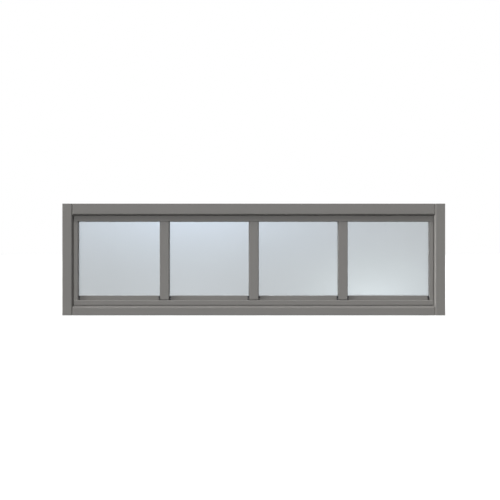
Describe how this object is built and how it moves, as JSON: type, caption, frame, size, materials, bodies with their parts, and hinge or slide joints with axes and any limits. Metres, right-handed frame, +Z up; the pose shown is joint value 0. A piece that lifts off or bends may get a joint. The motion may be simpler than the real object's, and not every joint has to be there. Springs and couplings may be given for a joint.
{
  "type": "transom window",
  "caption": "Wide fixed transom window with a splayed grey metal frame, divided double glazing and slim bars, for fitting over a door.",
  "frame": {"origin": "middle of the frame's underside, on the level that the window stands on", "axes": "+X across the window, +Y from the outside to the room side, +Z up"},
  "size_m": [1.219, 0.083, 0.356],
  "materials": {
    "frame_finish": "satin",
    "stop_finish": "satin",
    "bar_finish": "satin",
    "spacer_bar_finish": "satin",
    "clear_glass": "polished",
    "edge_spacer_metal": "matte",
    "edge_sealant": "matte",
    "gasket_rubber": "matte",
    "thermal_break_plastic": "matte",
    "block_plastic": "matte"
  },
  "bodies": {
    "root": {"edge_seal": "edge_sealant", "edge_spacer": "edge_spacer_metal", "head_inner_shell": "frame_finish", "head_outer_shell": "frame_finish", "head_thermal_break": "thermal_break_plastic", "inner_pane": "clear_glass", "inside_bar_1": "bar_finish", "inside_bar_2": "bar_finish", "inside_bar_3": "bar_finish", "inside_bottom_rail": "stop_finish", "inside_gasket": "gasket_rubber", "inside_left_stile": "stop_finish", "inside_right_stile": "stop_finish", "inside_top_rail": "stop_finish", "left_jamb_inner_shell": "frame_finish", "left_jamb_outer_shell": "frame_finish", "left_jamb_thermal_break": "thermal_break_plastic", "outer_pane": "clear_glass", "outside_bar_1": "bar_finish", "outside_bar_2": "bar_finish", "outside_bar_3": "bar_finish", "outside_bottom_rail": "stop_finish", "outside_gasket": "gasket_rubber", "outside_left_stile": "stop_finish", "outside_right_stile": "stop_finish", "outside_top_rail": "stop_finish", "right_jamb_inner_shell": "frame_finish", "right_jamb_outer_shell": "frame_finish", "right_jamb_thermal_break": "thermal_break_plastic", "setting_blocks": "block_plastic", "sill_inner_shell": "frame_finish", "sill_outer_shell": "frame_finish", "sill_thermal_break": "thermal_break_plastic", "spacer_bar_1": "spacer_bar_finish", "spacer_bar_2": "spacer_bar_finish", "spacer_bar_3": "spacer_bar_finish"}
  },
  "joints": []
}
